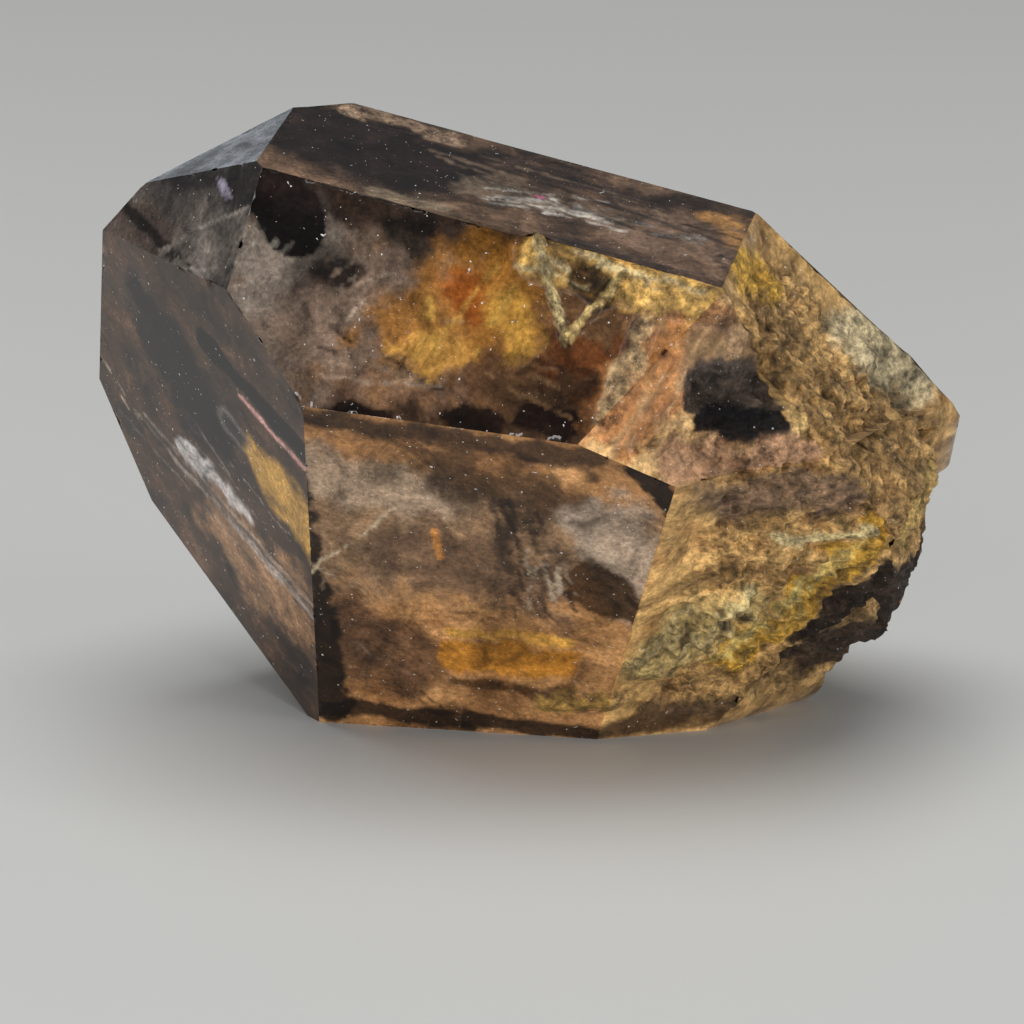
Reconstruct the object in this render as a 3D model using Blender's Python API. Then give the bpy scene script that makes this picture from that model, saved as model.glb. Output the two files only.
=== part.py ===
"""A stout smoky quartz crystal lying on its side, its point towards -X and its broken base towards +X.

The crystal is one solid. A block is cut by one plane for each natural face, as the mineral's habit is drawn:
prism faces round the long axis, rhombohedral faces at the point, and the rough breaks of the base.
The broken base is then pitted, because it grew against rock and tore away from it.
Lengths are in millimetres in the tables, and the model is in metres.
"""

import math

import bmesh
import bpy
from mathutils import Vector, noise

MM = 0.001
NAME = "smoky_quartz_crystal"

# Everything is measured from this point inside the crystal, 28 mm above the surface that it lies on.
CENTRE = Vector((3.4, -1.2, 28.0))
BLOCK_SIDE = 140.0  # the block is larger than the crystal on every side

# The long axis runs from the base to the point, which is raised and turned a little away from the front.
AXIS_AZIMUTH = 170.0
AXIS_ELEVATION = 13.0
ROLL = -8.0  # the top face leans this far to the front, as an angle round the axis
PRISM_STEP = 60.0  # quartz has six sides
POINT_SLOPE = 51.8  # between the axis and the normal of a point face, the same in every quartz crystal

# Distance of each side and each point face from CENTRE, in order round the axis: top, back, under, front.
PRISM_FACES = {
    "top": 25, "upper_back": 14.5, "lower_back": 27, "under": 33, "lower_front": 18.2, "upper_front": 27,
}
POINT_FACES = {
    "shoulder": 38.2, "point_upper_back": 27, "point_lower_back": 34.5,
    "point_under": 36.3, "point_lower_front": 27, "point_upper_front": 39.8,
}

# Faces some degrees off the ideal habit: leaning towards the base, and turned round the axis.
LEAN = {"lower_front": 6.0, "point_lower_front": 1.0, "point_under": 8.0, "point_upper_front": -9.0}
TURN = {"lower_front": 5.0}

# The base broke along rough planes: angle round the axis, slope from the base's own direction, and distance.
BREAKS = {
    "base_end": (0, 0, 34),
    "base_upper_front": (-78, 72, 27),
    "base_lower_front": (-125, 62, 20.5),
    "base_shoulder": (-8, 50, 27),
    "base_upper": (-20, 30, 31),
    "base_lower": (-150, 48, 28),
    "base_under": (180, 60, 34),
    "base_back_upper": (50, 50, 33),
    "base_back_lower": (115, 50, 33),
}

WELD_DISTANCE = 0.01  # corners closer than this are one corner
ROUGH_EDGE_LENGTH = 2.6  # longest edge left on the broken base
SHORTEST_EDGE = 0.05  # anything thinner is dissolved
SPLIT_ROUNDS = 6  # times that the long edges are halved, enough for the longest one
ROUGH_DEPTH = 0.9  # deepest the roughness goes below a break's plane
ROUGH_SIZE = 5.0  # width of one rough lump
ROUGH_FADE = (0.1, 4.0)  # distances from a clean face between which the roughness grows to its full depth
ROUGH_FRACTAL = (0.8, 2.1, 4)  # fineness, ratio and number of the noise's octaves
ROUGH_MIN_SHARE = 0.05  # less roughness or hollow than this needs no extra edges
REST_FADE = (0.2, 3.0)  # heights between which the pits die out, so that the crystal still rests flat
SHARP_ANGLE = 18.0  # edges steeper than this are drawn sharp

# Shell-shaped hollows of the broken base: angle round the axis, slope, radius and depth.
HOLLOWS = {
    "window_in_crust": (-75, 50, 6.5, 0.9),
    "break_between_lobes": (-100, 15, 8.0, 2.0),
    "top_dish": (-40, 55, 7.5, 0.9),
    "under_lip": (-150, 60, 6.0, 0.9),
    "back_break": (60, 35, 10.0, 2.0),
    "back_scar": (120, 40, 7.0, 1.6),
}


def axis_frame():
    """The axis towards the point, the direction square to it that is nearest to up, and the one behind it."""
    azimuth, elevation = math.radians(AXIS_AZIMUTH), math.radians(AXIS_ELEVATION)
    flat = math.cos(elevation)
    axis = Vector((flat * math.cos(azimuth), flat * math.sin(azimuth), math.sin(elevation)))
    upward = (Vector((0.0, 0.0, 1.0)) - axis.z * axis).normalized()
    return axis, upward, axis.cross(upward)


AXIS, UPWARD, BACKWARD = axis_frame()


def around(angle, slope, end):
    """Unit vector at an angle round the axis and a slope from one end of it, in degrees."""
    a, s = math.radians(angle), math.radians(slope)
    return math.cos(s) * end + math.sin(s) * (math.cos(a) * UPWARD + math.sin(a) * BACKWARD)


def clean_planes():
    """Outward direction and distance of the natural faces and of the face that the crystal lies on."""
    planes = [(Vector((0.0, 0.0, -1.0)), CENTRE.z)]
    for faces, slope in ((PRISM_FACES, 90.0), (POINT_FACES, POINT_SLOPE)):
        for step, (name, distance) in enumerate(faces.items()):
            angle = ROLL + PRISM_STEP * step + TURN.get(name, 0.0)
            planes.append((around(angle, slope + LEAN.get(name, 0.0), AXIS), distance))
    return planes


def broken_planes():
    """Outward direction and distance of the base's breaks."""
    return [(around(angle, slope, -AXIS), distance) for angle, slope, distance in BREAKS.values()]


CLEAN = clean_planes()
BROKEN = broken_planes()


def on_surface(line):
    """Where a unit vector from CENTRE leaves the crystal: at the nearest plane that it crosses."""
    ahead = [plane for plane in (*CLEAN, *BROKEN) if plane[0].dot(line) > 0.0]
    return CENTRE + line * min(distance / normal.dot(line) for normal, distance in ahead)


HOLLOW_MIDDLES = {name: on_surface(around(*hollow[:2], -AXIS)) for name, hollow in HOLLOWS.items()}


def cut_face(block, plane):
    """Cuts the block along one plane and closes the cut."""
    normal, distance = plane
    geometry = [*block.verts, *block.edges, *block.faces]
    made = bmesh.ops.bisect_plane(
        block, geom=geometry, plane_co=CENTRE + distance * normal, plane_no=normal, clear_outer=True
    )
    rim = [g for g in made["geom_cut"] if isinstance(g, bmesh.types.BMEdge)]
    if rim:
        bmesh.ops.edgenet_fill(block, edges=rim)


def faceted_crystal():
    """The crystal as flat faces that meet in crisp edges."""
    block = bmesh.new()
    bmesh.ops.create_cube(block, size=BLOCK_SIDE)
    bmesh.ops.translate(block, verts=block.verts, vec=CENTRE)
    for plane in (*CLEAN, *BROKEN):
        cut_face(block, plane)
    bmesh.ops.remove_doubles(block, verts=block.verts, dist=WELD_DISTANCE)
    bmesh.ops.recalc_face_normals(block, faces=block.faces)
    return block


def smooth_step(value, low, high):
    """0 below low and 1 above high, with a smooth S between them."""
    t = min(1.0, max(0.0, (value - low) / (high - low)))
    return t * t * (3.0 - 2.0 * t)


def rough_share(point):
    """1 on the broken base, falling to 0 towards the clean faces and the face that it rests on."""
    nearest = min(distance - normal.dot(point - CENTRE) for normal, distance in CLEAN)
    return smooth_step(nearest, *ROUGH_FADE)


def hollow_depth(point):
    """How deep the shell-shaped hollows are at a point: each is a smooth bowl."""
    depth = 0.0
    for name, (_, _, radius, deepest) in HOLLOWS.items():
        share = (point - HOLLOW_MIDDLES[name]).length / radius
        if share < 1.0:
            depth += deepest * (1.0 - share * share) ** 2
    return depth


def split_rough_base(crystal):
    """Halves the long edges of the broken base and its hollows, so that they can carry the roughness."""
    bmesh.ops.triangulate(crystal, faces=crystal.faces)
    for _ in range(SPLIT_ROUNDS):
        long_edges = []
        for edge in crystal.edges:
            middle = (edge.verts[0].co + edge.verts[1].co) / 2
            rough = max(rough_share(middle), hollow_depth(middle)) > ROUGH_MIN_SHARE
            if rough and edge.calc_length() > ROUGH_EDGE_LENGTH:
                long_edges.append(edge)
        bmesh.ops.subdivide_edges(crystal, edges=long_edges, cuts=1)
        bmesh.ops.triangulate(crystal, faces=crystal.faces)
        bmesh.ops.dissolve_degenerate(crystal, edges=crystal.edges[:], dist=SHORTEST_EDGE)
        bmesh.ops.triangulate(crystal, faces=crystal.faces)


def pit_broken_base(crystal):
    """Moves each vertex of the broken base towards CENTRE by lumpy noise and by the hollows it lies in."""
    for vertex in crystal.verts:
        point = vertex.co.copy()
        lumps = 0.5 + 0.5 * noise.fractal((point - CENTRE) / ROUGH_SIZE, *ROUGH_FRACTAL)
        above_rest = smooth_step(point.z, *REST_FADE)
        depth = ROUGH_DEPTH * rough_share(point) * min(1.0, max(0.0, lumps))
        depth = (depth + hollow_depth(point)) * above_rest
        vertex.co = point + depth * (CENTRE - point).normalized()


def smoky_quartz_material():
    """Grey-brown clear quartz: glassy, not metallic."""
    material = bpy.data.materials.new("smoky_quartz")
    material.use_nodes = True
    shader = material.node_tree.nodes["Principled BSDF"]
    shader.inputs["Base Color"].default_value = (0.10, 0.065, 0.040, 1.0)
    shader.inputs["Roughness"].default_value = 0.12
    shader.inputs["Metallic"].default_value = 0.0
    shader.inputs["IOR"].default_value = 1.544
    shader.inputs["Transmission Weight"].default_value = 0.4
    return material


def main():
    for old in list(bpy.data.objects):
        bpy.data.objects.remove(old)
    crystal = faceted_crystal()
    split_rough_base(crystal)
    pit_broken_base(crystal)
    bmesh.ops.scale(crystal, verts=crystal.verts, vec=(MM, MM, MM))
    bmesh.ops.recalc_face_normals(crystal, faces=crystal.faces)
    mesh = bpy.data.meshes.new(NAME)
    crystal.to_mesh(mesh)
    crystal.free()
    mesh.shade_smooth()
    mesh.set_sharp_from_angle(angle=math.radians(SHARP_ANGLE))
    mesh.materials.append(smoky_quartz_material())
    collection = bpy.data.collections.new(NAME)
    bpy.context.scene.collection.children.link(collection)
    collection.objects.link(bpy.data.objects.new(NAME, mesh))


main()
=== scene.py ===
import itertools
import math

import bpy
import numpy as np
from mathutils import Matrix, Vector
from mathutils.geometry import delaunay_2d_cdt


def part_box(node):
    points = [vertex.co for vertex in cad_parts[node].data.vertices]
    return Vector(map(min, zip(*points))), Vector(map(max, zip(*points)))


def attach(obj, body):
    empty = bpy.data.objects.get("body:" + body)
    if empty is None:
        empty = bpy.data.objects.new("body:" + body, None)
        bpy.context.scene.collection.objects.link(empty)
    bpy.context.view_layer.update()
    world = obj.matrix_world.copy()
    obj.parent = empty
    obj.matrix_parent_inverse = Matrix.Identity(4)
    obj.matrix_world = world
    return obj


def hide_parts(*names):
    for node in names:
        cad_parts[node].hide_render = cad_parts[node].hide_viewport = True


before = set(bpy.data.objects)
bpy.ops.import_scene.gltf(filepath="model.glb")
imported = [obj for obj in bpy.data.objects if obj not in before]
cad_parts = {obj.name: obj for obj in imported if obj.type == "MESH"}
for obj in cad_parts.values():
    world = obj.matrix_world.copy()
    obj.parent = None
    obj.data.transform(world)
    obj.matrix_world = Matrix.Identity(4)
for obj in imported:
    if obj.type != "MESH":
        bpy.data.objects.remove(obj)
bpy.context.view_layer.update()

# ---------------------------------------------------------------------------------------------
# The quartz's shape: six prism faces round a long axis, six rhombohedral faces at the point and the rough
# breaks of the base. The natural faces grew flat and glassy. The base tore off the rock that it grew on.

MM = 0.001
NODE = "smoky_quartz_crystal"
BOX_LOW, BOX_HIGH = (np.array(corner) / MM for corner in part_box(NODE))

# The point that the faces are measured from: its offset from the middle of the CAD box, and its height.
CENTRE_OFFSET = np.array([3.4, -1.2, 28.0])
CENTRE = np.append((BOX_LOW + BOX_HIGH)[:2] / 2, BOX_LOW[2]) + CENTRE_OFFSET

# The long axis runs from the base to the point, which is raised and turned a little away from the front.
AXIS_AZIMUTH = 170.0
AXIS_ELEVATION = 13.0
ROLL = -8.0  # the top face leans this far to the front, as an angle round the axis
PRISM_STEP = 60.0  # quartz has six sides
POINT_SLOPE = 51.8  # between the axis and the normal of a point face, the same in every quartz crystal

# Distance of each side and each point face from CENTRE, in order round the axis: top, back, under, front.
PRISM_FACES = {
    "top": 25, "upper_back": 14.5, "lower_back": 27, "under": 33, "lower_front": 18.2, "upper_front": 27,
}
POINT_FACES = {
    "shoulder": 38.2, "point_upper_back": 27, "point_lower_back": 34.5,
    "point_under": 36.3, "point_lower_front": 27, "point_upper_front": 39.8,
}

# Faces some degrees off the ideal habit: leaning towards the base, and turned round the axis.
LEAN = {"lower_front": 6.0, "point_lower_front": 1.0, "point_under": 8.0, "point_upper_front": -9.0}
TURN = {"lower_front": 5.0}

# The base broke along rough planes: angle round the axis, slope from the base's own direction, and distance.
BREAKS = {
    "base_end": (0, 0, 34),
    "base_upper_front": (-78, 72, 27),
    "base_lower_front": (-125, 62, 20.5),
    "base_shoulder": (-8, 50, 27),
    "base_upper": (-20, 30, 31),
    "base_lower": (-150, 48, 28),
    "base_under": (180, 60, 34),
    "base_back_upper": (50, 50, 33),
    "base_back_lower": (115, 50, 33),
}


def axis_frame():
    """The axis towards the point, the direction square to it that is nearest to up, and the one behind it."""
    azimuth, elevation = math.radians(AXIS_AZIMUTH), math.radians(AXIS_ELEVATION)
    flat = math.cos(elevation)
    axis = np.array([flat * math.cos(azimuth), flat * math.sin(azimuth), math.sin(elevation)])
    upward = np.array([0.0, 0.0, 1.0]) - axis[2] * axis
    upward /= np.linalg.norm(upward)
    return axis, upward, np.cross(axis, upward)


AXIS, UPWARD, BACKWARD = axis_frame()


def around(angle, slope, end):
    """Unit vector at an angle round the axis and a slope from one end of it, in degrees."""
    a, s = math.radians(angle), math.radians(slope)
    return math.cos(s) * end + math.sin(s) * (math.cos(a) * UPWARD + math.sin(a) * BACKWARD)


def crystal_planes():
    """Outward direction and distance from CENTRE of every face, by name."""
    planes = {"rest": (np.array([0.0, 0.0, -1.0]), CENTRE[2] - BOX_LOW[2])}
    for faces, slope in ((PRISM_FACES, 90.0), (POINT_FACES, POINT_SLOPE)):
        for step, (name, distance) in enumerate(faces.items()):
            angle = ROLL + PRISM_STEP * step + TURN.get(name, 0.0)
            planes[name] = around(angle, slope + LEAN.get(name, 0.0), AXIS), distance
    for name, (angle, slope, distance) in BREAKS.items():
        planes[name] = around(angle, slope, -AXIS), distance
    return planes


PLANES = crystal_planes()
FACE_NAMES = list(PLANES)
NORMALS = np.array([normal for normal, _ in PLANES.values()])
DISTANCES = np.array([distance for _, distance in PLANES.values()])
CLEAN = [i for i, name in enumerate(FACE_NAMES) if not name.startswith("base")]


def depth_inside(points):
    """Each point's depth inside each face's plane: the face's distance less the point along its normal."""
    return DISTANCES - points @ NORMALS.T


NEARLY_ZERO = 1e-6  # what rounding leaves of a determinant or of a distance in mm that should be zero
PLACE_DECIMALS = 3  # places are rounded to a thousandth of a millimetre, so that faces share them exactly
NEAR_LEVEL = 0.8  # a face whose normal's upright part is more than this has no useful way up


def face_corners():
    """Corners of each face in order round it: the points where three planes meet inside all the others."""
    triples = np.array(list(itertools.combinations(range(len(PLANES)), 3)))
    triples = triples[np.abs(np.linalg.det(NORMALS[triples])) > NEARLY_ZERO]
    points = np.linalg.solve(NORMALS[triples], DISTANCES[triples][..., None])[..., 0]
    kept = (depth_inside(points) > -NEARLY_ZERO).all(axis=1)
    points, triples = np.round(points[kept], PLACE_DECIMALS), triples[kept]
    corners = {}
    for face, name in enumerate(FACE_NAMES):
        mine = np.unique(points[(triples == face).any(axis=1)], axis=0)
        across, up = face_axes(name)
        spread = mine - mine.mean(axis=0)
        corners[name] = mine[np.argsort(np.arctan2(spread @ up, spread @ across))]
    return corners


def face_axes(name):
    """Two directions in a face: across it to the right, and up it, or back where it is near level."""
    normal = PLANES[name][0]
    pole = BACKWARD if abs(normal[2]) > NEAR_LEVEL else np.array([0.0, 0.0, 1.0])
    up = pole - normal * (pole @ normal)
    up /= np.linalg.norm(up)
    return np.cross(up, normal), up


CORNERS = face_corners()


def on_face(name, share_across, share_up):
    """Place on a face, from its share of the face's width and of its height."""
    across, up = face_axes(name)
    corners = CORNERS[name]
    a, u = corners @ across, corners @ up
    flat = (a.min() + share_across * np.ptp(a)) * across + (u.min() + share_up * np.ptp(u)) * up
    return flat + PLANES[name][1] * PLANES[name][0]


FINE_GRID, COARSE_GRID = 0.33, 0.6  # triangle sides: on the faces with fine marks, and on the others
PLAIN_FACES = {
    "rest", "upper_back", "lower_back", "under", "point_upper_back", "point_lower_back", "point_under",
    "base_under", "base_back_upper", "base_back_lower",
}
GRID_JITTER = 0.12  # each grid point is moved at random by up to this share of a triangle's side
BORDER_GAP = 0.45  # share of a triangle's side kept free between the grid and the border
JOIN_DISTANCE = 1e-7  # points closer than this are joined when the triangles are made
INSIDE_ONLY = 1  # the triangulation's setting for triangles inside the border alone
GRID_SEED = 11


def border_points(corners):
    """Even points along a face's border: each edge is walked from its lower end, so both its faces agree."""
    rim = []
    for start, end in zip(corners, np.roll(corners, -1, axis=0)):
        forward = tuple(start) < tuple(end)
        low, high = (start, end) if forward else (end, start)
        count = max(1, math.ceil(np.linalg.norm(high - low) / FINE_GRID))
        walk = low + (high - low) * (np.arange(count + 1) / count)[:, None]
        walk = walk if forward else walk[::-1]
        rim.append(walk[:-1])
    return np.concatenate(rim)


def face_sheet(name, rng):
    """One flat face: a triangular grid inside it, its border's points, and the triangles between them."""
    corners = CORNERS[name]
    axes = np.stack(face_axes(name), axis=1)
    side = COARSE_GRID if name in PLAIN_FACES else FINE_GRID
    rim = border_points(corners)
    flat_rim = (rim - corners[0]) @ axes
    low, high = flat_rim.min(axis=0), flat_rim.max(axis=0)
    rows = np.arange(low[1], high[1], side * math.sqrt(3) / 2)
    columns = np.arange(low[0], high[0], side)
    grid_x = columns[None, :] + side / 2 * (np.arange(len(rows)) % 2)[:, None]
    grid = np.stack([grid_x, np.broadcast_to(rows[:, None], grid_x.shape)], axis=-1).reshape(-1, 2)
    grid += rng.uniform(-GRID_JITTER, GRID_JITTER, grid.shape) * side
    inner = corners[0] + grid @ axes.T
    clear = np.sort(depth_inside(inner), axis=1)[:, 1] > BORDER_GAP * side
    flat = np.concatenate([flat_rim, grid[clear]])
    loop = [(i, (i + 1) % len(rim)) for i in range(len(rim))]
    made = delaunay_2d_cdt([Vector(p) for p in flat.tolist()], loop, [], INSIDE_ONLY, JOIN_DISTANCE, False)
    return np.concatenate([rim, inner[clear]]), np.array(made[2])


def crystal_shell():
    """All the faces' points (not yet joined), the triangles on them, and each point's face."""
    rng = np.random.default_rng(GRID_SEED)
    points, triangles, faces, first = [], [], [], 0
    for face, name in enumerate(FACE_NAMES):
        if len(CORNERS[name]) < 3:
            continue
        sheet, corners_of = face_sheet(name, rng)
        points.append(sheet)
        triangles.append(corners_of + first)
        faces.append(np.full(len(sheet), face))
        first += len(sheet)
    return np.concatenate(points), np.concatenate(triangles), np.concatenate(faces)


# ---------------------------------------------------------------------------------------------
# What the quartz holds: natural radiation made it smoky. Veils of tiny bubbles, needles and healed cracks
# cloud it. Rusty water has left amber and ochre iron oxide in the cracks and a gritty crust on the base.
# Some of the colour below is painted light: a painted glare highlight, and a lower front face painted lighter
# for light that shines through the crystal.

FIRST_CELL = 1000.0  # cubes are counted from here, so that no count is negative
CELL_MIX = np.array([73856093, 19349663, 83492791])  # large numbers that scramble a cube's place
SEED_MIX, SECOND_MIX, THIRD_MIX = 26544357, 1274126177, 1103515245
OCTAVE_STRENGTH = 0.55
FRACTAL_GAIN = 1.6  # stretches the sum of the octaves to fill about -1 to 1
LEAST_SQUARE = 1e-9  # stands in for the squared length of a line whose ends meet


def noise(points, size, seed):
    """Smooth random field from -1 to 1: random values at the corners of cubes, blended with an S curve."""
    scaled = points / size + FIRST_CELL
    cell = np.floor(scaled).astype(np.int64)
    part = scaled - cell
    part = part * part * (3.0 - 2.0 * part)
    total = np.zeros(len(points))
    for corner in itertools.product((0, 1), repeat=3):
        at = cell + corner
        mixed = np.bitwise_xor.reduce(at * CELL_MIX, axis=1) ^ (seed * SEED_MIX)
        mixed = ((mixed ^ (mixed >> 13)) * SECOND_MIX) & 0x7FFFFFFF
        mixed = ((mixed ^ (mixed >> 11)) * THIRD_MIX) & 0x7FFFFFFF
        share = np.where(corner, part, 1.0 - part).prod(axis=1)
        total += share * ((mixed >> 8) % 65536 / 32767.5 - 1.0)
    return total


def fractal(points, size, seed, octaves=4):
    """Noise with finer noise on it: each octave is half as wide and 0.55 times as strong."""
    total, weight = np.zeros(len(points)), 0.0
    for octave in range(octaves):
        total += OCTAVE_STRENGTH**octave * noise(points, size / 2**octave, seed + octave)
        weight += OCTAVE_STRENGTH**octave
    return total / weight * FRACTAL_GAIN


def s_curve(value, low, high):
    """0 below low and 1 above high, with a smooth S between them."""
    t = np.clip((value - low) / (high - low), 0.0, 1.0)
    return t * t * (3.0 - 2.0 * t)


def reach(points, start, end):
    """Distance of each point from the straight line between two places, in millimetres."""
    along = end - start
    t = np.clip((points - start) @ along / max(along @ along, LEAST_SQUARE), 0.0, 1.0)
    return np.linalg.norm(points - start - t[:, None] * along, axis=1)


def linear(code):
    """A colour written as sRGB hex, as linear red, green and blue."""
    parts = np.array([int(code[i : i + 2], 16) for i in (0, 2, 4)]) / 255.0
    return np.where(parts <= 0.04045, parts / 12.92, ((parts + 0.055) / 1.055) ** 2.4)


# The murk under each face: dark colour, light colour, how much light it stops, and its patches' size.
GROUND = {
    "top": ("241a15", "765c48", 0.86, 4.0),
    "upper_front": ("281a10", "84603f", 0.86, 5.0),
    # Painted light: the lower front's colours are painted lighter than its own, for light that shines out
    # through it from inside the crystal.
    "lower_front": ("7a5230", "c4925e", 0.88, 6.0),
    "shoulder": ("5c5e62", "90949a", 0.80, 3.0),
    "point_upper_front": ("242120", "5a524c", 0.85, 5.0),
    "point_lower_front": ("150d09", "5c4230", 0.90, 5.0),
    "base_upper_front": ("8a6038", "d8b078", 0.98, 2.2),
    "base_lower_front": ("7a5432", "d0a668", 0.97, 2.6),
    "base": ("6a4a2c", "c09a62", 0.95, 2.6),
    "hidden": ("2a1d15", "866548", 0.84, 6.0),
}
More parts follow.
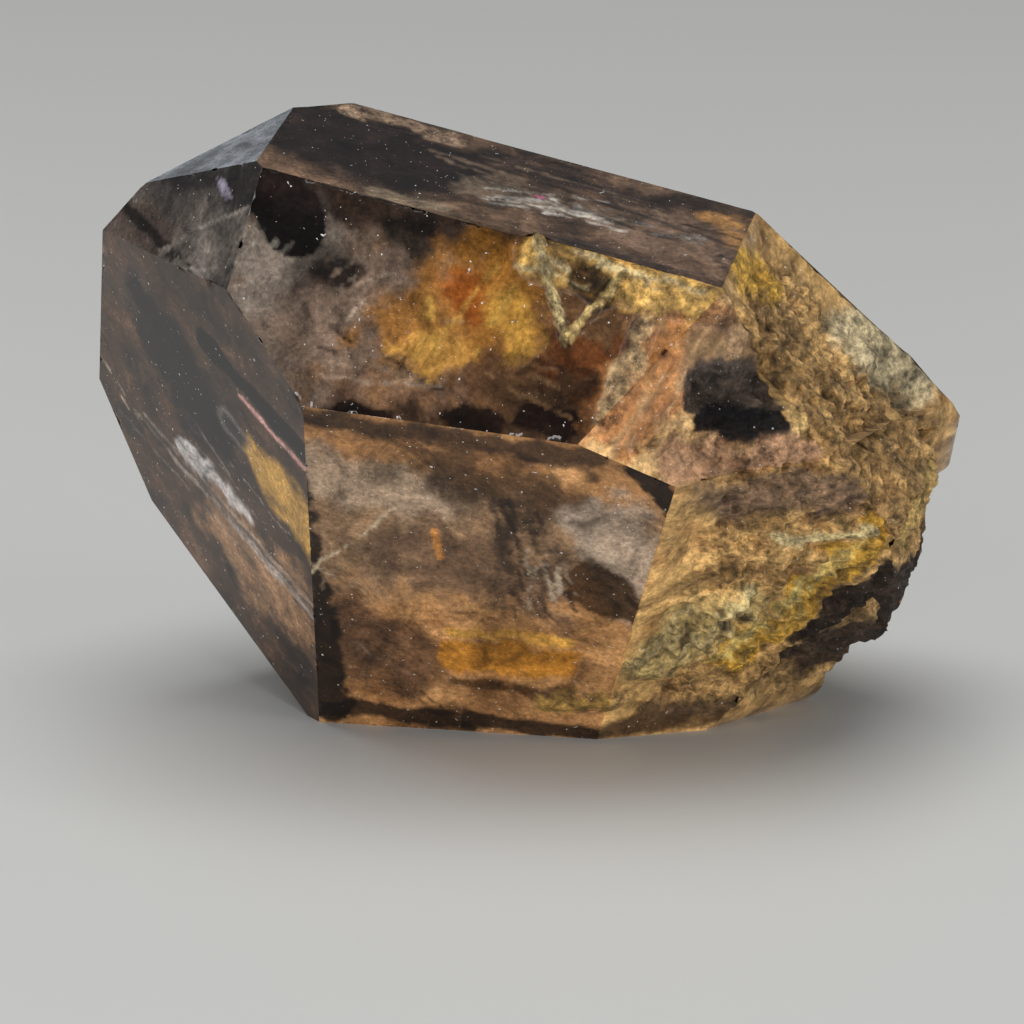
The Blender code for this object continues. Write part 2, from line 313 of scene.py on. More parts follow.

# Marks in the murk, and a few of painted light, painted in order over the ground. Each row is a line from one
# place to another on a face, as shares of the face's width and height: radius in mm, colour, strength,
# raggedness and height in mm.
MARKS = {
    "point_upper_front": [
        (0.02, 0.30, 0.60, 0.05, 2.6, "4e4038", 0.7, 1.5, 0),
        (0.60, 0.20, 0.98, 0.40, 2.8, "7a7068", 0.55, 2.4, 0),
        (0.00, 0.36, 0.70, 0.03, 0.6, "120e0c", 0.9, 0.4, 0),
        (0.45, 0.80, 0.90, 0.85, 2.5, "1e1c1c", 0.8, 2.0, 0),
    ],
    "top": [
        (0.00, 0.60, 0.30, 0.50, 7.4, "120c0d", 0.90, 2.6, 0),
        (0.27, 0.06, 0.40, 0.08, 1.3, "8a7761", 0.8, 0.8, 0),
        (0.12, 0.93, 0.34, 0.92, 1.5, "9a8068", 0.85, 1.8, 0.3),
        (0.44, 0.80, 0.80, 0.78, 2.0, "241b18", 0.8, 1.4, 0),
        (0.46, 0.42, 0.72, 0.45, 2.4, "7c6a58", 0.7, 2.8, 0),
        (0.62, 0.45, 0.70, 0.42, 1.0, "d0c8bc", 0.8, 2.4, 0),
        (0.57, 0.50, 0.575, 0.50, 0.4, "e070a0", 0.9, 0.2, 0),
        (0.80, 0.40, 1.00, 0.45, 5.0, "7a6250", 0.75, 2.5, 0),
        (0.95, 0.80, 1.00, 0.60, 2.0, "9a7040", 0.85, 1.5, 0),
    ],
    "upper_front": [
        (0.04, 0.56, 0.30, 0.50, 9.0, "655950", 0.8, 3.0, 0),
        (0.02, 0.60, 0.16, 0.78, 3.4, "786e64", 0.6, 2.8, 0),
        (0.20, 0.40, 0.32, 0.62, 4.0, "7a6454", 0.6, 3.0, 0),
        (0.07, 0.98, 0.12, 0.80, 3.0, "050404", 0.98, 0.8, 0),
        (0.19, 0.66, 0.22, 0.64, 2.6, "0a0706", 0.88, 1.6, 0),
        (0.12, 0.95, 0.60, 0.74, 2.4, "1a1210", 0.88, 1.2, 0),
        (0.34, 0.76, 0.40, 0.70, 2.2, "0c0907", 0.86, 1.6, 0),
        (0.50, 0.70, 0.54, 0.66, 1.4, "140e0b", 0.84, 1.2, 0),
        (0.38, 0.34, 0.56, 0.56, 5.2, "885a22", 0.84, 2.8, 0),
        (0.34, 0.30, 0.46, 0.30, 2.2, "b48440", 0.85, 1.8, 0),
        (0.47, 0.56, 0.49, 0.52, 2.0, "6e3610", 0.88, 1.2, 0),
        (0.57, 0.48, 0.60, 0.38, 2.0, "b4863a", 0.8, 1.6, 0),
        (0.30, 0.20, 0.46, 0.16, 2.6, "6b5242", 0.6, 2.0, 0),
        (0.56, 0.22, 0.76, 0.20, 3.4, "46301f", 0.85, 2.4, 0),
        (0.20, 0.10, 0.72, 0.04, 1.4, "2a1c14", 0.8, 1.2, 0),
        (0.24, 0.09, 0.32, 0.08, 1.3, "100906", 0.95, 0.8, 0),
        (0.48, 0.08, 0.55, 0.07, 1.5, "100906", 0.95, 0.8, 0),
        (0.63, 0.10, 0.70, 0.08, 1.6, "140b08", 0.95, 0.8, 0),
        (0.70, 0.36, 0.74, 0.28, 2.2, "5e3418", 0.85, 2.0, 0),
        (0.95, 0.46, 0.82, 0.14, 3.0, "a06a3c", 0.86, 2.6, 0),
        (0.86, 0.50, 0.78, 0.10, 1.0, "bc9c70", 0.88, 1.4, 0.2),
        (0.64, 0.70, 1.00, 0.54, 2.6, "d2a65a", 0.92, 1.6, 0.6),
        (0.72, 0.62, 0.76, 0.56, 1.5, "20140c", 0.95, 0.8, -1.2),
        (0.63, 0.74, 0.69, 0.38, 0.5, "dcc48c", 0.95, 0.5, 0.7),
        (0.69, 0.38, 0.80, 0.62, 0.5, "d6b878", 0.95, 0.5, 0.7),
    ],
    "lower_front": [
        (0.10, 0.66, 0.60, 0.60, 9.0, "84705c", 0.6, 3.0, 0),
        # Painted light: a pale window, painted lighter for the light that shines through it.
        (0.12, 0.80, 0.38, 0.74, 3.6, "a08a74", 0.8, 1.2, 0),
        (0.02, 0.99, 0.80, 0.88, 1.6, "24170f", 0.88, 1.2, 0),
        (0.46, 0.82, 0.72, 0.74, 3.4, "3a2614", 0.8, 2.4, 0),
        (0.36, 0.56, 0.62, 0.50, 5.0, "6a4f3c", 0.65, 3.0, 0),
        (0.10, 0.34, 0.26, 0.20, 5.0, "52392a", 0.75, 2.6, 0),
        # Painted light: the pale window at the right, painted lighter for the light that shines through it.
        (0.82, 0.68, 0.92, 0.44, 4.6, "9c8a78", 0.86, 2.0, 0),
        (0.76, 0.50, 0.80, 0.44, 2.9, "3e2814", 0.94, 1.6, 0),
        (0.92, 0.86, 1.00, 0.74, 1.5, "0a0606", 0.96, 0.6, 0),
        (0.39, 0.25, 0.64, 0.25, 2.4, "a46c22", 0.92, 1.2, 0),
        (0.38, 0.33, 0.66, 0.32, 0.8, "c89440", 0.8, 0.9, 0),
        (0.38, 0.16, 0.66, 0.15, 0.9, "3a2410", 0.85, 0.8, 0),
        (0.00, 0.05, 0.95, 0.01, 1.3, "1c130e", 0.92, 0.8, 0),
        (0.05, 0.04, 0.05, 0.98, 1.9, "140c09", 0.95, 0.9, 0),
        (0.60, 0.12, 0.84, 0.13, 1.5, "b08c44", 0.85, 1.4, 0.5),
        (0.39, 0.56, 0.39, 0.64, 0.4, "c08040", 0.9, 0.2, 0),
    ],
    "point_lower_front": [
        (0.04, 0.92, 0.40, 0.88, 4.0, "4c382c", 0.75, 2.2, 0),
        (0.40, 0.82, 0.50, 0.66, 5.0, "140f0e", 0.92, 2.2, 0),
        (0.42, 0.36, 0.90, 0.14, 6.0, "9a7452", 0.85, 2.6, 0),
        # Painted highlight: a near-white glare streak, painted in place of a reflection.
        (0.32, 0.55, 0.50, 0.46, 1.4, "d8d0cc", 0.8, 1.2, 0),
        (0.60, 0.66, 0.64, 0.63, 1.6, "807870", 0.8, 0.3, 0),
        (0.60, 0.66, 0.64, 0.63, 1.0, "2c2422", 0.9, 0.3, 0),
        (0.72, 0.57, 0.84, 0.46, 3.8, "b88c42", 0.92, 1.4, 0),
        (0.62, 0.84, 0.98, 0.64, 1.4, "090505", 0.97, 0.5, 0),
        (0.70, 0.74, 0.96, 0.60, 0.4, "c09088", 0.88, 0.3, 0),
        (0.98, 0.58, 0.97, 0.06, 1.6, "120907", 0.96, 0.5, 0),
        (0.94, 0.50, 0.93, 0.24, 0.35, "9a6428", 0.85, 0.3, 0),
        (0.96, 0.40, 0.97, 0.38, 0.9, "e8d8b8", 0.9, 0.6, 0),
        (0.92, 0.04, 0.98, 0.03, 2.5, "100b09", 0.92, 0.8, 0),
    ],
    "base_upper_front": [
        (0.16, 0.30, 0.44, 0.86, 3.4, "a86c3e", 0.82, 2.8, 0),
        (0.50, 0.72, 0.66, 0.66, 3.4, "7a6046", 0.85, 1.6, 0),
        (0.50, 0.50, 0.76, 0.50, 2.7, "443a34", 0.96, 0.8, -0.7),
        (0.50, 0.34, 0.78, 0.30, 1.5, "0c090b", 0.99, 0.6, -0.6),
        (0.36, 0.12, 0.95, 0.14, 1.8, "aa8264", 0.88, 1.0, 0),
        (0.90, 0.30, 0.94, 0.55, 1.8, "c4a468", 0.88, 1.4, 0.4),
    ],
    "base_lower_front": [
        (0.24, 0.88, 0.74, 0.88, 3.6, "7c6350", 0.85, 2.0, 0),
        (0.16, 0.28, 0.38, 0.44, 3.8, "b09862", 0.92, 2.0, 0.9),
        (0.30, 0.46, 0.42, 0.52, 0.7, "dcc890", 0.9, 0.8, 0.8),
        (0.37, 0.42, 0.41, 0.40, 1.2, "140d09", 0.97, 0.8, -1.4),
        (0.46, 0.24, 0.86, 0.72, 2.6, "cc9c38", 0.94, 1.8, 0.9),
        (0.52, 0.70, 0.80, 0.72, 0.9, "d8c490", 0.9, 0.8, 0.8),
        (0.80, 0.30, 0.96, 0.50, 3.0, "201512", 0.96, 0.8, -0.4),
        (0.00, 0.03, 0.70, 0.06, 1.4, "3a281c", 0.88, 0.8, 0),
    ],
    "base_shoulder": [
        (0.20, 0.88, 0.40, 0.80, 2.6, "d8a840", 0.85, 1.8, 0.6),
        (0.05, 0.60, 0.30, 0.30, 3.0, "8a6a3c", 0.7, 2.4, 0),
        (0.70, 0.40, 0.90, 0.20, 3.6, "d4c49c", 0.75, 2.4, 0.4),
    ],
    "base_end": [
        (0.20, 0.75, 0.60, 0.80, 3.6, "c0a060", 0.9, 1.8, 0.8),
        (0.20, 0.20, 0.80, 0.25, 6.0, "241a18", 0.95, 1.4, 0),
    ],
    "base_lower": [(0.30, 0.50, 0.80, 0.60, 6.0, "2c1e1a", 0.9, 2.0, 0)],
}

# Bundles of fine lines: face, where the middle one runs, how far they spread, how many, radius, two colours.
BUNDLES = [
    ("point_upper_front", (0.52, 0.05, 0.96, 0.42), 2.4, 18, 0.18, ("746b62", "a0978c")),
    ("point_upper_front", (0.66, 0.78, 0.78, 0.66), 0.8, 5, 0.22, ("9890a4", "b4acbc")),
    ("point_upper_front", (0.14, 0.34, 0.20, 0.52), 0.8, 3, 0.20, ("8a847c", "a8a29a")),
    ("upper_front", (0.00, 0.50, 0.12, 0.70), 2.0, 12, 0.18, ("6e645a", "8f867c")),
    ("upper_front", (0.16, 0.44, 0.30, 0.66), 4.0, 18, 0.18, ("8a7260", "a8947f")),
    ("upper_front", (0.20, 0.34, 0.44, 0.24), 4.0, 12, 0.20, ("2a1d16", "937c68")),
    ("upper_front", (0.42, 0.26, 0.50, 0.64), 4.0, 10, 0.24, ("5c3c16", "c49a48")),
    ("upper_front", (0.56, 0.30, 0.74, 0.16), 4.0, 12, 0.22, ("2c1a10", "9a7450")),
    ("upper_front", (0.64, 0.70, 0.98, 0.54), 1.8, 18, 0.26, ("8a6430", "ecd8a4")),
    ("top", (0.50, 0.36, 0.72, 0.50), 2.4, 26, 0.22, ("9a8a78", "ece4d8")),
    ("top", (0.40, 0.72, 0.95, 0.66), 4.0, 22, 0.28, ("1c1513", "7a6654")),
    ("top", (0.80, 0.44, 0.92, 0.50), 2.0, 8, 0.20, ("7a746c", "b0aca8")),
    ("lower_front", (0.58, 0.72, 0.58, 0.42), 3.8, 34, 0.24, ("1c120c", "2c1d14")),
    ("lower_front", (0.64, 0.62, 0.64, 0.40), 2.4, 14, 0.20, ("33221a", "b8a890")),
    ("lower_front", (0.08, 0.44, 0.30, 0.66), 3.0, 4, 0.14, ("a08870", "d0bc9c")),
    ("lower_front", (0.24, 0.44, 0.10, 0.60), 3.0, 3, 0.14, ("a08870", "d0bc9c")),
    ("lower_front", (0.10, 0.30, 0.34, 0.10), 3.0, 10, 0.20, ("1e130d", "8a7460")),
    ("point_lower_front", (0.15, 0.56, 0.94, 0.12), 2.2, 26, 0.22, ("3c302a", "b0a094")),
    ("point_lower_front", (0.06, 0.68, 0.12, 0.56), 0.9, 5, 0.26, ("c8b89c", "e4d4b8")),
    ("point_lower_front", (0.40, 0.62, 0.62, 0.44), 3.0, 10, 0.22, ("2c2320", "8c7c70")),
    ("base_upper_front", (0.18, 0.20, 0.40, 0.85), 3.0, 14, 0.28, ("70401e", "d0a878")),
    ("base_lower_front", (0.14, 0.20, 0.44, 0.50), 3.4, 22, 0.30, ("4a3420", "dcc690")),
    ("base_lower_front", (0.46, 0.24, 0.86, 0.74), 2.6, 18, 0.34, ("7a5820", "e4cc80")),
]

LINE_REACH = (-0.15, 1.15)  # each line starts and ends within these shares of the middle one
LINE_SCATTER = 0.5  # how far the lines stray to the side, as a share of the spread
LINE_FAN = 1.1  # how much of that the turn adds by the far end
LINE_THICKNESS = (0.6, 1.4)  # thinnest and thickest, as shares of the bundle's radius
LINE_STRENGTH = (0.2, 0.75)
LINE_RAGGEDNESS = 0.45


def bundle_rows(name, line, spread, count, radius, colours, rng):
    """Fine lines about one line of a face: each has a random stretch, shifted aside and turned a little."""
    start, end = on_face(name, *line[:2]), on_face(name, *line[2:])
    side = np.cross(PLANES[name][0], end - start)
    side /= np.linalg.norm(side)
    rows = []
    for k in range(count):
        first, last = np.sort(rng.uniform(*LINE_REACH, 2))
        shift, turn = rng.normal(0.0, LINE_SCATTER, 2) * spread
        ends = [start + (end - start) * t + side * (shift + turn * LINE_FAN * t) for t in (first, last)]
        thick = radius * rng.uniform(*LINE_THICKNESS)
        strength = rng.uniform(*LINE_STRENGTH)
        rows.append((name, *ends, thick, colours[k % 2], strength, LINE_RAGGEDNESS, 0))
    return rows


# The sides away from the front hold the same things: amber stain, dark quartz, pale veils and healed cracks.
BACK_FACES = ("upper_back", "lower_back", "under", "point_upper_back", "point_lower_back", "point_under")
BACK_COLOURS = ("8f672e", "120c0a", "8a7664", "5a3a22", "0e0a09", "a08058", "7a4a20", "16100d")
PATCH_AREA, PATCH_STRETCH = (0.15, 0.85), 0.10  # where a patch's middle is, and how long it is, in shares
PATCH_RADIUS, PATCH_STRENGTH, PATCH_RAGGEDNESS = (1.8, 5.0), (0.7, 0.9), 2.6
FEATHER_AREA, FEATHER_STRETCH = (0.3, 0.7), 0.18
FEATHER = (4.0, 26, 0.3, ("6a5a4c", "b8a894"))  # a bundle's spread, number of lines, radius and colours
LINE_SEED = 5


def back_rows(rng):
    """Soft patches and one feather of fine lines on each face away from the front."""
    rows = []
    for name in BACK_FACES:
        for colour in BACK_COLOURS:
            middle, stretch = rng.uniform(*PATCH_AREA, 2), rng.normal(0.0, PATCH_STRETCH, 2)
            ends = on_face(name, *(middle - stretch)), on_face(name, *(middle + stretch))
            radius, strength = rng.uniform(*PATCH_RADIUS), rng.uniform(*PATCH_STRENGTH)
            rows.append((name, *ends, radius, colour, strength, PATCH_RAGGEDNESS, 0))
        middle, stretch = rng.uniform(*FEATHER_AREA, 2), rng.normal(0.0, FEATHER_STRETCH, 2)
        line = (*(middle - stretch), *(middle + stretch))
        rows += bundle_rows(name, line, *FEATHER, rng)
    return rows


def face_marks():
    """Every mark as places: its face, both ends, radius, colour, strength, raggedness and height."""
    rows = []
    for name, marks in MARKS.items():
        for a0, u0, a1, u1, radius, colour, strength, ragged, height in marks:
            ends = on_face(name, a0, u0), on_face(name, a1, u1)
            rows.append((name, *ends, radius, colour, strength, ragged, height))
    rng = np.random.default_rng(LINE_SEED)
    for bundle in BUNDLES:
        rows += bundle_rows(*bundle, rng)
    return rows + back_rows(rng)


FACE_MARKS = face_marks()


LUMP_SIZE, RIDGE_SIZE = 5.0, 3.0  # widths in mm of the crust's lumps and of the gaps between its ridges


def crust_relief(points):
    """The broken base's lumps from 0 to 1, and the ridges between them."""
    lumps = np.clip(0.5 + 0.5 * fractal(points, LUMP_SIZE, 3), 0, 1)
    return lumps, 1.0 - np.abs(fractal(points, RIDGE_SIZE, 9))


# Widths in mm of the patterns in the murk: streaks, thin wisps, the warp that makes marks ragged, fine grain.
STREAK_SIZE, WISP_SIZE, WARP_SIZE, FINE_SIZE = 4.0, 7.0, 2.4, 0.9
WISP_THICKNESS = 0.16  # a wisp is where its noise is nearer to zero than this
WARP_SEEDS = (61, 67, 71)

# The murk's colour, as a share of the way from dark to light: its middle, and how much each pattern moves it.
MIDDLE_TONE, PATCH_TONE, WISP_TONE, RIDGE_TONE, LUMP_TONE = 0.42, 0.45, 0.30, 0.5, 0.5
BROKEN_FINE_TONE, CLEAN_FINE_TONE = 0.25, 0.08
STREAK_MURK = 0.12  # how much the streaks change the light that the murk stops
MARK_FINE, MARK_MURK = 0.25, 0.8  # how much a mark takes of the fine grain, and gives of its strength as murk

# A strong mark has a hard border and a weak one a soft border, as a share of its radius.
SOFT_SLOPE, HARD_STRENGTH, SOFT_LIMITS = 6.0, 0.995, (0.1, 0.7)
SOFT_OUTSIDE, SOFT_INSIDE = 0.4, 0.6  # how the border is shared between the mark's outside and inside


def paint(points, faces):
    """Colour and murk at each point: the face's ground with its wisps, and then each mark over it."""
    streak = fractal(points, STREAK_SIZE, 31)
    wisp = s_curve(WISP_THICKNESS - np.abs(fractal(points, WISP_SIZE, 83, 5)), 0.0, WISP_THICKNESS)
    warp = np.stack([fractal(points, WARP_SIZE, seed) for seed in WARP_SEEDS], axis=1)
    fine = fractal(points, FINE_SIZE, 47)
    lumps, ridges = crust_relief(points)
    tint, murk = np.zeros((len(points), 3)), np.zeros(len(points))
    for face, name in enumerate(FACE_NAMES):
        on = faces == face
        broken = name.startswith("base")
        dark, light, opaque, size = GROUND.get(name, GROUND["base" if broken else "hidden"])
        fine_tone = BROKEN_FINE_TONE if broken else CLEAN_FINE_TONE
        patches = PATCH_TONE * fractal(points[on], size, 31 + face) + fine_tone * fine[on]
        raised = RIDGE_TONE * (ridges[on] - LUMP_TONE * lumps[on]) if broken else 0.0
        share = np.clip(MIDDLE_TONE + patches + WISP_TONE * wisp[on] + raised, 0, 1)[:, None]
        tint[on] = linear(dark) * (1 - share) + linear(light) * share
        murk[on] = opaque + STREAK_MURK * streak[on]
    for name, start, end, radius, colour, strength, ragged, _ in FACE_MARKS:
        on = np.flatnonzero(faces == FACE_NAMES.index(name))
        away = reach(points[on] + ragged * warp[on], start, end) / radius
        soft = np.clip(SOFT_SLOPE * (HARD_STRENGTH - strength), *SOFT_LIMITS)
        share = s_curve(1.0 - away, -SOFT_OUTSIDE * soft, SOFT_INSIDE * soft) * strength
        tint[on] += share[:, None] * (linear(colour) * (1.0 + MARK_FINE * fine[on, None]) - tint[on])
        murk[on] += share * (strength - murk[on]) * MARK_MURK
    return np.clip(tint, 0.0, 1.0), np.clip(murk, 0.0, 1.0)


# Depths in mm: the crust's lumps, the dips between its ridges, its grit, its worn edges and the edge chips.
LUMP_DEPTH, DIP_DEPTH, GRIT_DEPTH, WORN_DEPTH, CHIP_DEPTH = 1.5, 1.4, 0.42, 1.3, 0.22
WORN_WIDTH, CHIP_WIDTH = 3.5, 0.5  # how far from an edge the wear and the chips reach
GRIT_SIZE, WORN_SIZE, CHIP_SIZE, BUMP_SIZE = 1.0, 4.0, 1.3, 1.4  # widths of their noise
CHIP_RANGE = (0.3, 0.9)  # noise values between which a chip grows to its full depth
BUMP_SHARE = 0.6  # how uneven the raised and sunk marks are
RAGGED_REACH = 0.3  # how much of a mark's raggedness widens its relief
BROKEN_FADE = (0.05, 3.0)  # distances from a clean face between which the crust grows to its full depth
REST_FADE = (0.2, 3.0)  # heights between which all relief dies out, so that the crystal still rests flat
DULL_FADE = 0.3  # share of a mark's reach over which its relief turns dull


def carve(points):
    """Moves each point towards CENTRE, by chips, crust and marks, and says where the surface is rough."""
    inside = depth_inside(points)
    broken = s_curve(inside[:, CLEAN].min(axis=1), *BROKEN_FADE)
    to_edge = np.sort(inside, axis=1)[:, 1]
    lumps, ridges = crust_relief(points)
    worn = WORN_DEPTH * (1.0 - s_curve(to_edge, 0.0, WORN_WIDTH)) * (1.0 + fractal(points, WORN_SIZE, 51))
    grit = GRIT_DEPTH * fractal(points, GRIT_SIZE, 15, 2)
    depth = broken * (LUMP_DEPTH * lumps + DIP_DEPTH * (1.0 - ridges) + grit + worn)
    near_edge = s_curve(CHIP_WIDTH - to_edge, 0.0, CHIP_WIDTH)
    depth += s_curve(fractal(points, CHIP_SIZE, 21), *CHIP_RANGE) * near_edge * CHIP_DEPTH
    bumps = 1.0 + BUMP_SHARE * fractal(points, BUMP_SIZE, 27, 3)
    rough = broken.copy()
    for _, start, end, radius, _, _, ragged, height in FACE_MARKS:
        if height:
            share = np.clip(reach(points, start, end) / (radius + RAGGED_REACH * ragged), 0.0, 1.0)
            depth -= height * (1.0 - share**2) ** 2 * bumps
            rough = np.maximum(rough, s_curve(1.0 - share, 0.0, DULL_FADE))
    above_rest = points[:, 2] + CENTRE[2] - BOX_LOW[2]
    depth *= s_curve(above_rest, *REST_FADE)
    return points * (1.0 - depth / np.linalg.norm(points, axis=1))[:, None], rough


def node(tree, kind, settings=(), **links):
    """Adds a shader node, sets its own values, and links or fills its inputs by name, or by number as i0."""
    made = tree.nodes.new(kind)
    for key, value in dict(settings).items():
        setattr(made, key, value)
    for key, value in links.items():
        socket = made.inputs[int(key[1:])] if key[1:].isdigit() else made.inputs[key.replace("_", " ")]
        if isinstance(value, bpy.types.NodeSocket):
            tree.links.new(value, socket)
        else:
            socket.default_value = value
    return made


# Patterns in lumps per metre: grain of 0.45 mm, clouds of 5.3 mm, veils of 3.8 mm, grit of 1.1 mm and specks
# of 0.37 mm.
GRAIN_SCALE, CLOUD_SCALE, VEIL_SCALE, GRIT_SCALE, SPECK_SCALE = 2200.0, 190.0, 260.0, 900.0, 2700.0
QUARTZ_INDEX = 1.544
REFLECTION = 0.22  # weaker than real quartz's 0.5, so that the pale floor doesn't hide the dark inside
MULTIPLY, SUBTRACT, ABSOLUTE = ({"operation": name} for name in ("MULTIPLY", "SUBTRACT", "ABSOLUTE"))


def smoky_quartz():
    """Smoky quartz: clear brown glass, murky where inclusions cloud it, and dull with rust on the crust."""
    material = bpy.data.materials.new("smoky_quartz")
    material.use_nodes = True
    tree = material.node_tree
    shader = tree.nodes["Principled BSDF"]
    place = node(tree, "ShaderNodeTexCoord").outputs["Object"]
    tint = node(tree, "ShaderNodeAttribute", {"attribute_name": "tint"}).outputs["Color"]
    murk = node(tree, "ShaderNodeAttribute", {"attribute_name": "murk"}).outputs["Fac"]
    rough = node(tree, "ShaderNodeAttribute", {"attribute_name": "rough"}).outputs["Fac"]

    # Fine grain and soft clouds of bubbles and dust lighten and darken the tint.
    grain = node(tree, "ShaderNodeTexNoise", Vector=place, Scale=GRAIN_SCALE, Detail=5.0, Roughness=0.65)
    grain = grain.outputs["Fac"]
    shade = node(tree, "ShaderNodeMapRange", i0=grain, i1=0.3, i2=0.7, i3=0.60, i4=1.42).outputs["Result"]
    cloud = node(tree, "ShaderNodeTexNoise", Vector=place, Scale=CLOUD_SCALE, Detail=9.0, Roughness=0.66)
    cloud.inputs["Distortion"].default_value = 0.9
    cloud = node(tree, "ShaderNodeMapRange", i0=cloud.outputs["Fac"], i1=0.34, i2=0.66, i3=0.36, i4=1.62)
    shade = node(tree, "ShaderNodeMath", MULTIPLY, i0=shade, i1=cloud.outputs["Result"]).outputs[0]

    # Thin pale veils run where a twisted noise crosses its middle.
    veil = node(tree, "ShaderNodeTexNoise", Vector=place, Scale=VEIL_SCALE, Detail=7.0, Roughness=0.6)
    veil.inputs["Distortion"].default_value = 2.4
    veil = node(tree, "ShaderNodeMath", SUBTRACT, i0=veil.outputs["Fac"], i1=0.5).outputs[0]
    veil = node(tree, "ShaderNodeMath", ABSOLUTE, i0=veil).outputs[0]
    veil = node(tree, "ShaderNodeMapRange", i0=veil, i1=0.0, i2=0.012, i3=1.5, i4=1.0).outputs["Result"]
    shade = node(tree, "ShaderNodeMath", MULTIPLY, i0=shade, i1=veil).outputs[0]

    # The crust is gritty, with dark pits between its grains.
    grit = node(tree, "ShaderNodeTexNoise", Vector=place, Scale=GRIT_SCALE, Detail=6.0, Roughness=0.7)
    grit = grit.outputs["Fac"]
    pits = node(tree, "ShaderNodeMapRange", i0=grit, i1=0.36, i2=0.62, i3=0.28, i4=1.45).outputs["Result"]
    pits = node(tree, "ShaderNodeMix", {"data_type": "FLOAT"}, i0=rough, i2=1.0, i3=pits).outputs[0]
    shade = node(tree, "ShaderNodeMath", MULTIPLY, i0=shade, i1=pits).outputs[0]
    colour = node(tree, "ShaderNodeVectorMath", {"operation": "SCALE"}, i0=tint, Scale=shade)
    colour = colour.outputs["Vector"]

    # Tiny bright specks: pale dust, and painted glints of flat cracks that catch the light.
    specks = node(tree, "ShaderNodeTexNoise", Vector=place, Scale=SPECK_SCALE, Detail=2.0).outputs["Fac"]
    specks = node(tree, "ShaderNodeMapRange", i0=specks, i1=0.715, i2=0.745, i3=0.0, i4=0.8)
    specks = specks.outputs["Result"]
    pale = (*linear("e8e4dc"), 1.0)
    colour = node(tree, "ShaderNodeMix", {"data_type": "RGBA"}, i0=specks, i6=colour, i7=pale).outputs[2]
    tree.links.new(colour, shader.inputs["Base Color"])

    # Light goes in where there is little murk. The crust is dull and rough to the touch.
    clear = node(tree, "ShaderNodeMath", {**SUBTRACT, "use_clamp": True}, i0=1.0, i1=murk).outputs[0]
    tree.links.new(clear, shader.inputs["Transmission Weight"])
    dull = node(tree, "ShaderNodeMapRange", i0=rough, i1=0.0, i2=1.0, i3=0.06, i4=0.48).outputs["Result"]
    tree.links.new(dull, shader.inputs["Roughness"])
    bump = node(tree, "ShaderNodeBump", Strength=rough, Distance=0.0009, Height=grit)
    tree.links.new(bump.outputs["Normal"], shader.inputs["Normal"])
    shader.inputs["IOR"].default_value = QUARTZ_INDEX
    shader.inputs["Specular IOR Level"].default_value = REFLECTION
    absorb = node(tree, "ShaderNodeVolumeAbsorption", Color=(*linear("b59a80"), 1.0), Density=45.0)
    tree.links.new(absorb.outputs["Volume"], tree.nodes["Material Output"].inputs["Volume"])
    return material


SHARP_ANGLE = 28.0  # edges steeper than this are drawn sharp


def build_crystal():
    """The whole crystal as one closed mesh, with its colour and murk kept at each face corner."""
    points, triangles, faces = crystal_shell()
    tint, murk = paint(points, faces)
    joined, back = np.unique(np.round(points, PLACE_DECIMALS), axis=0, return_inverse=True)
    back = back.reshape(-1)
    moved, rough = carve(joined)
    corners = back[triangles]
    whole = (corners != np.roll(corners, 1, axis=1)).all(axis=1)  # no two corners joined into one
    corners, triangles = corners[whole], triangles[whole]
    mesh = bpy.data.meshes.new("crystal")
    mesh.from_pydata(((moved + CENTRE) * MM).tolist(), [], corners.tolist())
    loops = triangles.reshape(-1)
    rgba = np.concatenate([tint[loops], np.ones((len(loops), 1))], axis=1)
    mesh.attributes.new("tint", "FLOAT_COLOR", "CORNER").data.foreach_set("color", rgba.reshape(-1))
    mesh.attributes.new("murk", "FLOAT", "CORNER").data.foreach_set("value", murk[loops])
    mesh.attributes.new("rough", "FLOAT", "POINT").data.foreach_set("value", rough)
    mesh.shade_smooth()
    mesh.set_sharp_from_angle(angle=math.radians(SHARP_ANGLE))
    mesh.materials.append(smoky_quartz())
    piece = bpy.data.objects.new("crystal", mesh)
    bpy.context.scene.collection.objects.link(piece)
    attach(piece, "root")
    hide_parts(NODE)
    return piece


crystal = build_crystal()
print("crystal", len(crystal.data.vertices), "points", len(crystal.data.polygons), "triangles")

# ---------------------------------------------------------------------------------------------
# The studio: a plain pale floor, soft light from above, and a camera a little above the crystal.


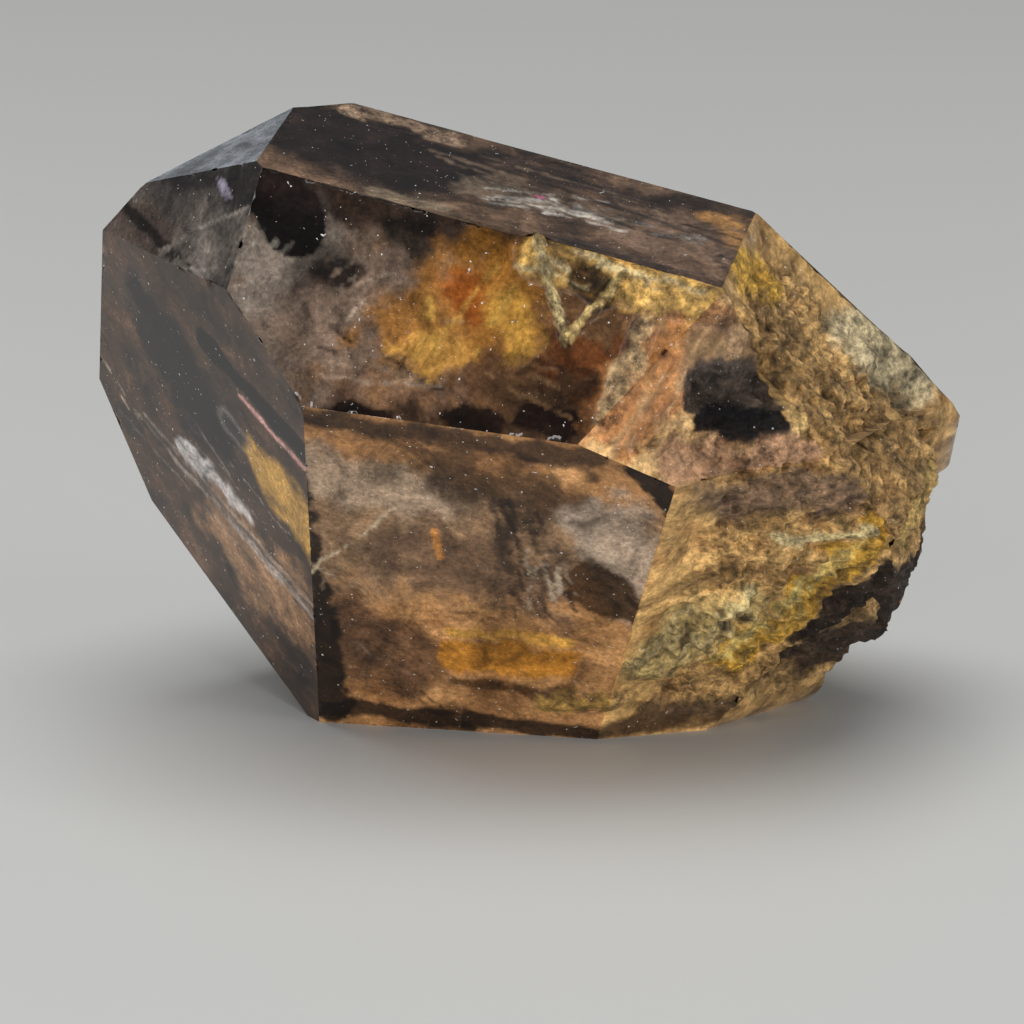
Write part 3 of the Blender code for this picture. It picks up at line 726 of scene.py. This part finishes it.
def floor():
    """A wide pale grey matt sheet that the crystal lies on."""
    half = 4.0
    corners = [(-half, -half, 0), (half, -half, 0), (half, half, 0), (-half, half, 0)]
    mesh = bpy.data.meshes.new("floor")
    mesh.from_pydata(corners, [], [(0, 1, 2, 3)])
    material = bpy.data.materials.new("grey_sheet")
    material.use_nodes = True
    shader = material.node_tree.nodes["Principled BSDF"]
    shader.inputs["Base Color"].default_value = (*linear("c2c2bf"), 1.0)
    shader.inputs["Roughness"].default_value = 0.6
    mesh.materials.append(material)
    piece = bpy.data.objects.new("floor", mesh)
    bpy.context.scene.collection.objects.link(piece)


def lamp(name, place, size, power, aim=(0.0, 0.0, 0.025)):
    """A square softbox at a place, turned to an aim point."""
    light = bpy.data.lights.new(name, "AREA")
    light.size, light.energy = size, power
    thing = bpy.data.objects.new(name, light)
    thing.location = place
    thing.rotation_euler = (Vector(aim) - Vector(place)).to_track_quat("-Z", "Y").to_euler()
    bpy.context.scene.collection.objects.link(thing)


LENS, SENSOR = 217.0, 36.0  # mm
EYE = (-0.0013, -0.5433, 0.177)
PITCH_DOWN = 16.1  # degrees


def studio():
    """World light, softboxes and camera."""
    world = bpy.data.worlds.new("studio")
    world.use_nodes = True
    world.node_tree.nodes["Background"].inputs["Color"].default_value = (*linear("dfe3e8"), 1.0)
    world.node_tree.nodes["Background"].inputs["Strength"].default_value = 0.24
    bpy.context.scene.world = world
    lamp("over", (-0.06, -0.06, 0.85), 0.8, 6.4)
    lamp("front", (-0.05, -0.95, 0.06), 0.40, 5.5)
    lamp("left", (-0.85, -0.55, 0.20), 0.45, 3.2)
    lamp("right", (0.85, -0.50, 0.20), 0.45, 3.0)
    camera = bpy.data.cameras.new("camera")
    camera.lens, camera.sensor_width = LENS, SENSOR
    camera.clip_start = 0.01
    eye = bpy.data.objects.new("camera", camera)
    eye.location = EYE
    eye.rotation_euler = (math.radians(90.0 - PITCH_DOWN), 0.0, 0.0)
    bpy.context.scene.collection.objects.link(eye)
    bpy.context.scene.camera = eye
    bpy.context.scene.view_settings.view_transform = "Standard"


floor()
studio()
